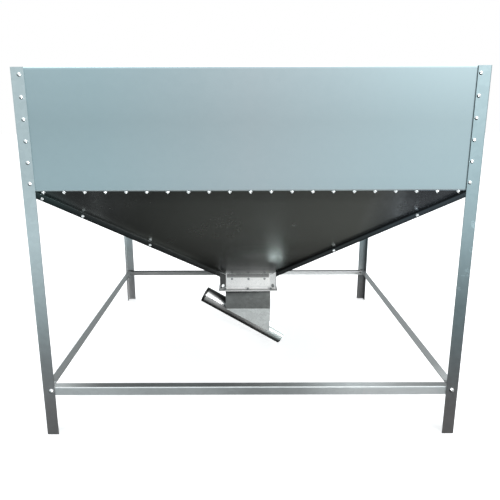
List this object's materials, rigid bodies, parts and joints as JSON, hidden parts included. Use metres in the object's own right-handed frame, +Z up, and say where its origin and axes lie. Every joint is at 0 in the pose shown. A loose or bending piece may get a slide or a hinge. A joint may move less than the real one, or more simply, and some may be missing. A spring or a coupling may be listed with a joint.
{
  "type": "feed bin",
  "caption": "Square open-topped galvanised feed bin on angle legs, with a four-sided hopper, an outlet collar and a chute box over a slanted auger tube.",
  "frame": {"origin": "on the floor, under the centre of the bin", "axes": "+Z up; -Y towards the front wall; +X to the right seen from the front, the way the auger tube slopes down"},
  "size_m": [1.5, 1.5, 1.29],
  "materials": {
    "wall_sheet": "satin galvanised sheet, blue grey",
    "hopper_sheet": "satin galvanised sheet, darker",
    "angle_steel": "galvanised angle",
    "collar_sheet": "bright galvanised sheet",
    "chute_steel": "galvanised sheet, matt",
    "tube_steel": "smooth galvanised tube"
  },
  "bodies": {
    "root": {"leg_front_left": "angle_steel", "leg_front_right": "angle_steel", "leg_back_right": "angle_steel", "leg_back_left": "angle_steel", "wall_front": "wall_sheet", "wall_right": "wall_sheet", "wall_back": "wall_sheet", "wall_left": "wall_sheet", "rail_front": "angle_steel", "rail_right": "angle_steel", "rail_back": "angle_steel", "rail_left": "angle_steel", "hopper_front": "hopper_sheet", "hopper_right": "hopper_sheet", "hopper_back": "hopper_sheet", "hopper_left": "hopper_sheet", "collar_front": "collar_sheet", "collar_right": "collar_sheet", "collar_back": "collar_sheet", "collar_left": "collar_sheet", "chute_flange": "collar_sheet", "chute_front": "chute_steel", "chute_right": "chute_steel", "chute_back": "chute_steel", "chute_left": "chute_steel", "auger_tube": "tube_steel"}
  },
  "joints": []
}
